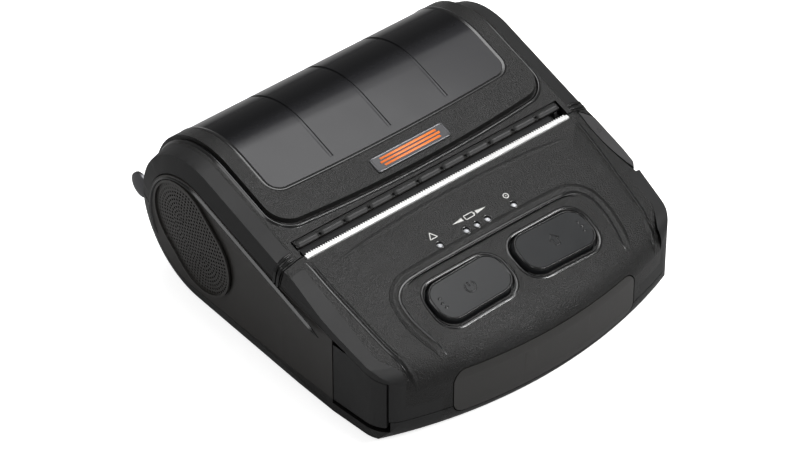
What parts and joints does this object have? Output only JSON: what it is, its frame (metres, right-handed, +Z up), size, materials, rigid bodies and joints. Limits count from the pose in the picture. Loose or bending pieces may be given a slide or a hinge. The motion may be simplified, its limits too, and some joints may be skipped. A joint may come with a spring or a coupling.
{
  "type": "portable label printer",
  "caption": "Portable thermal label printer with a hinged windowed lid over its roll bay, a tear bar, a release lever, push buttons and a slide-out battery.",
  "frame": {"origin": "on the resting plane, under the middle of the overall box", "axes": "+Z up, +Y towards the hinge at the back, +X to the right of someone facing the buttons"},
  "size_m": [0.1406, 0.1516, 0.0675],
  "materials": {
    "case_black": "fine grain",
    "side_dark": "satin",
    "rail_rubber": "soft matte",
    "window_smoke": "gloss",
    "grille_dark": "satin",
    "badge_metal": "satin",
    "bright_steel": "brushed",
    "dark_steel": "satin",
    "platen_rubber": "ground",
    "gear_plastic": "satin",
    "bush_plastic": "satin",
    "head_ceramic": "glazed",
    "sink_aluminium": "satin",
    "inner_black": "matt",
    "board_green": "satin",
    "lever_grey": "satin",
    "button_grey": "satin",
    "keypad_rubber": "matt",
    "lens_clear": "clear",
    "foot_rubber": "matt",
    "battery_black": "fine grain",
    "screw_steel": "satin",
    "spring_steel": "bright"
  },
  "bodies": {
    "base": {"battery_connector": "inner_black", "bay_liner": "inner_black", "board_screws": "screw_steel", "case_screws": "screw_steel", "corner_bumper_left": "rail_rubber", "corner_bumper_right": "rail_rubber", "data_port": "bright_steel", "dc_jack": "inner_black", "feed_motor": "dark_steel", "front_cover": "case_black", "front_rail_left": "rail_rubber", "front_rail_right": "rail_rubber", "guide_rod": "bright_steel", "head_pin": "bright_steel", "head_springs": "spring_steel", "hinge_bar": "dark_steel", "keypad": "keypad_rubber", "lamp_board": "board_green", "latch_spring": "spring_steel", "led_lenses": "lens_clear", "lower_case": "case_black", "main_board": "board_green", "mechanism_frame": "dark_steel", "media_sensor": "inner_black", "panel_board": "board_green", "rubber_feet": "foot_rubber", "side_grille_left": "grille_dark", "side_grille_right": "grille_dark", "side_panel_left": "side_dark", "side_panel_right": "side_dark", "tear_bar": "bright_steel"},
    "lid": {"lid_shell": "case_black", "lid_window": "window_smoke", "lid_rail_left": "rail_rubber", "lid_rail_right": "rail_rubber", "badge_plate": "badge_metal", "exit_lip": "case_black", "platen_carrier": "inner_black", "platen_bushes": "bush_plastic"},
    "platen": {"platen_roller": "platen_rubber", "platen_shaft": "bright_steel", "platen_gear": "gear_plastic"},
    "head": {"print_head": "head_ceramic", "heat_sink": "sink_aluminium"},
    "idler": {"idler_gear": "gear_plastic"},
    "drive": {"motor_pinion": "gear_plastic"},
    "latch": {"release_lever": "lever_grey", "latch_shaft": "bright_steel", "latch_hooks": "dark_steel"},
    "power_key": {"power_button": "button_grey"},
    "feed_key": {"feed_button": "button_grey"},
    "battery": {"battery_pack": "battery_black"},
    "port_flap": {"port_cover": "rail_rubber"},
    "left_guide": {"media_guide_left": "inner_black"},
    "right_guide": {"media_guide_right": "inner_black"},
    "guide_drive": {"guide_pinion": "gear_plastic"}
  },
  "joints": [
    {"name": "lid_hinge", "type": "hinge", "parent": "base", "child": "lid", "pos_m": [0, 0.07075, 0.032], "axis": [-1, 0, 0], "range_deg": [0, 100]},
    {"name": "platen_spin", "type": "hinge", "parent": "lid", "child": "platen", "pos_m": [0, -0.0072, 0.0444], "axis": [1, 0, 0], "continuous": true},
    {"name": "idler_spin", "type": "hinge", "parent": "base", "child": "idler", "pos_m": [-0.0641, -0.00967, 0.0289], "axis": [1, 0, 0], "continuous": true},
    {"name": "drive_spin", "type": "hinge", "parent": "base", "child": "drive", "pos_m": [-0.0641, -0.02077, 0.01957], "axis": [1, 0, 0], "continuous": true},
    {"name": "head_rock", "type": "hinge", "parent": "base", "child": "head", "pos_m": [0, -0.0148, 0.0342], "axis": [1, 0, 0], "range_deg": [0, 3], "stiffness_Nm_per_rad": 3, "springref_deg": -2.86},
    {"name": "latch_turn", "type": "hinge", "parent": "base", "child": "latch", "pos_m": [0, -0.036, 0.0374], "axis": [1, 0, 0], "range_deg": [0, 8], "stiffness_Nm_per_rad": 0.4, "springref_deg": -11.46},
    {"name": "power_press", "type": "slide", "parent": "base", "child": "power_key", "axis": [0.0413, 0.3203, -0.9464], "range_m": [0, 0.0008], "stiffness_N_per_m": 600, "springref_m": -0.001},
    {"name": "feed_press", "type": "slide", "parent": "base", "child": "feed_key", "axis": [-0.0413, 0.3203, -0.9464], "range_m": [0, 0.0008], "stiffness_N_per_m": 600, "springref_m": -0.001},
    {"name": "battery_slide", "type": "slide", "parent": "base", "child": "battery", "axis": [0, -1, 0], "range_m": [0, 0.06]},
    {"name": "port_hinge", "type": "hinge", "parent": "base", "child": "port_flap", "pos_m": [-0.0686, -0.0404, 0.02], "axis": [0, 0, -1], "range_deg": [0, 95], "stiffness_Nm_per_rad": 0.01, "springref_deg": -11.46},
    {"name": "left_guide_slide", "type": "slide", "parent": "base", "child": "left_guide", "axis": [1, 0, 0], "range_m": [0, 0.0314]},
    {"name": "right_guide_slide", "type": "slide", "parent": "base", "child": "right_guide", "axis": [-1, 0, 0], "range_m": [0, 0.0314]},
    {"name": "guide_pinion_spin", "type": "hinge", "parent": "base", "child": "guide_drive", "pos_m": [0, 0.0046, 0.0059], "axis": [0, 0, 1], "range_deg": [-360, 0]}
  ],
  "couplings": [
    {"joint": "idler_spin", "follows": "platen_spin", "ratio": -0.44444},
    {"joint": "drive_spin", "follows": "platen_spin", "ratio": 1.3333},
    {"joint": "right_guide_slide", "follows": "left_guide_slide", "ratio": 1},
    {"joint": "guide_pinion_spin", "follows": "left_guide_slide", "rad_per_m": -200}
  ]
}
